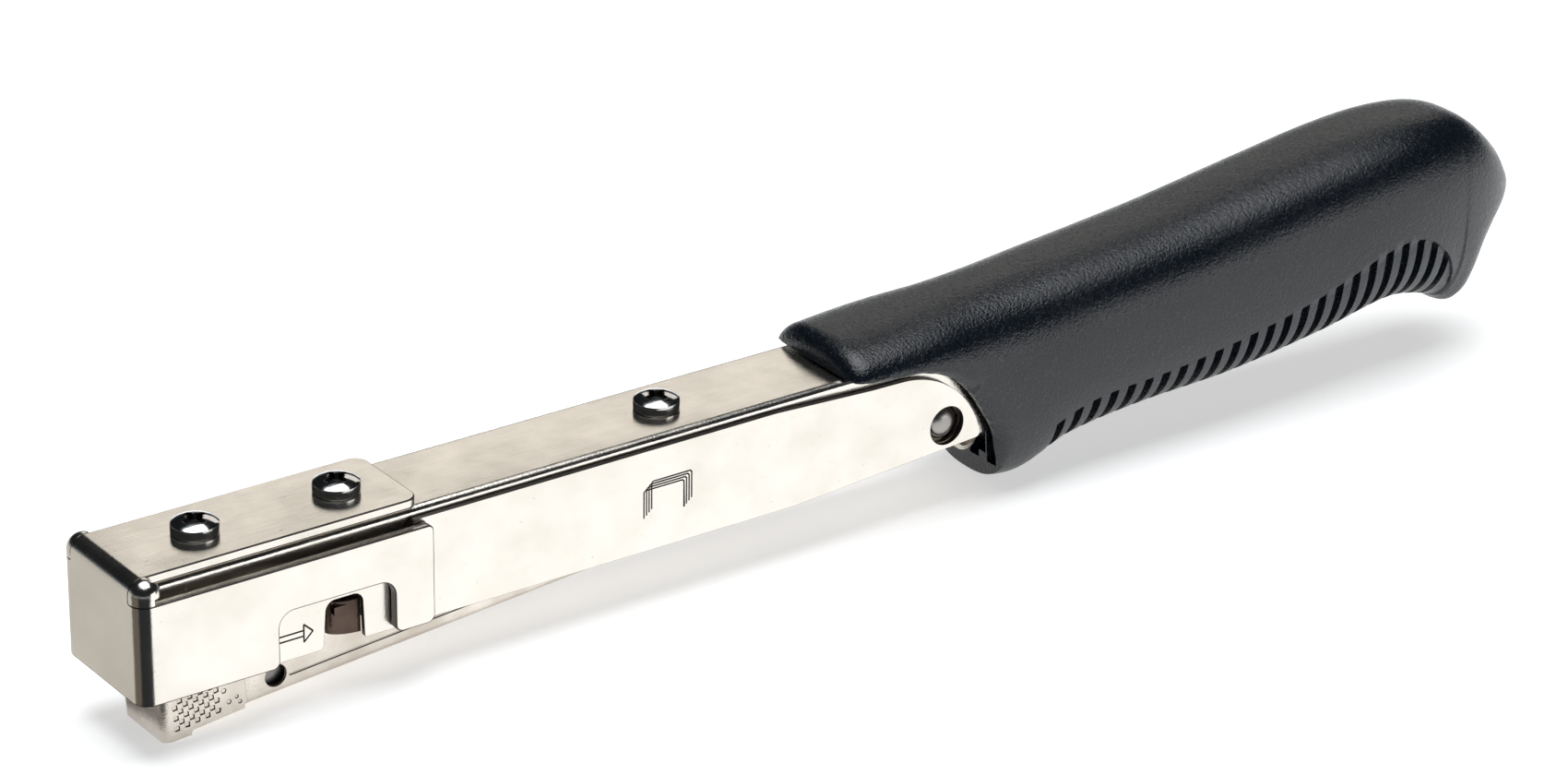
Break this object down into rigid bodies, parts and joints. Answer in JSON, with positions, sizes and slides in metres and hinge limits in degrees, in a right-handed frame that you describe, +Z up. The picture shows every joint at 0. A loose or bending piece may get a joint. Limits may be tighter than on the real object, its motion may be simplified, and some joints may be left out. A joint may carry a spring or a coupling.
{
  "type": "hammer tacker",
  "caption": "Hammer tacker with a folded steel head and arm, a sprung pivoting staple magazine, a drop-down staple rail, a latch and a moulded grip.",
  "frame": {"origin": "middle of the base of the bounding box", "axes": "+X from the head's front face to the grip's end, +Z up through the arm's top, +Y across the tool"},
  "size_m": [0.2956, 0.031, 0.0477],
  "materials": {
    "nickel_plate": "warm nickel-plated sheet steel, satin gloss",
    "screw_nickel": "bright nickel-plated screws and pin",
    "steel": "plain zinc-grey steel",
    "spring_steel": "oiled spring steel",
    "latch_steel": "dark hardened steel",
    "grip_plastic": "fine-textured charcoal moulded plastic"
  },
  "bodies": {
    "handle": {"grip": "grip_plastic", "arm_channel": "nickel_plate", "head_shroud": "nickel_plate", "shroud_screw_front": "screw_nickel", "shroud_screw_rear": "screw_nickel", "arm_screw": "screw_nickel", "driver_block": "steel", "driver_blade": "spring_steel", "shroud_nut": "steel", "arm_nut": "steel", "spring_retainer": "steel", "return_spring": "spring_steel", "pivot_pin": "screw_nickel", "pivot_sleeve": "steel"},
    "magazine_housing": {"left_side_plate": "nickel_plate", "right_side_plate": "nickel_plate", "front_spacer": "steel", "spring_seat": "steel", "latch_stop": "steel", "latch_spring": "spring_steel"},
    "latch": {"latch_hook": "latch_steel"},
    "staple_rail": {"magazine_channel": "nickel_plate", "nose_plate": "nickel_plate", "staple_core": "steel", "pusher_rod": "steel", "pusher_spring": "spring_steel", "rail_end_eye": "nickel_plate"},
    "staple_pusher": {"pusher": "steel"}
  },
  "joints": [
    {"name": "strike_hinge", "type": "hinge", "parent": "handle", "child": "magazine_housing", "pos_m": [0.01255, 0, 0.01732], "axis": [0, 1, 0], "range_deg": [0, 3.4], "stiffness_Nm_per_rad": 10, "springref_deg": -6.88, "deforming": ["return_spring"]},
    {"name": "rail_hinge", "type": "hinge", "parent": "magazine_housing", "child": "staple_rail", "pos_m": [0.01255, 0, 0.01732], "axis": [0, 1, 0], "range_deg": [-22, 0]},
    {"name": "latch_slide", "type": "slide", "parent": "magazine_housing", "child": "latch", "axis": [1, 0, 0], "range_m": [0, 0.004], "stiffness_N_per_m": 800, "springref_m": -0.003, "deforming": ["latch_spring"]},
    {"name": "pusher_slide", "type": "slide", "parent": "staple_rail", "child": "staple_pusher", "axis": [0.9967, 0, 0.0812], "range_m": [0, 0.06], "stiffness_N_per_m": 60, "springref_m": -0.03, "deforming": ["pusher_spring"]}
  ]
}
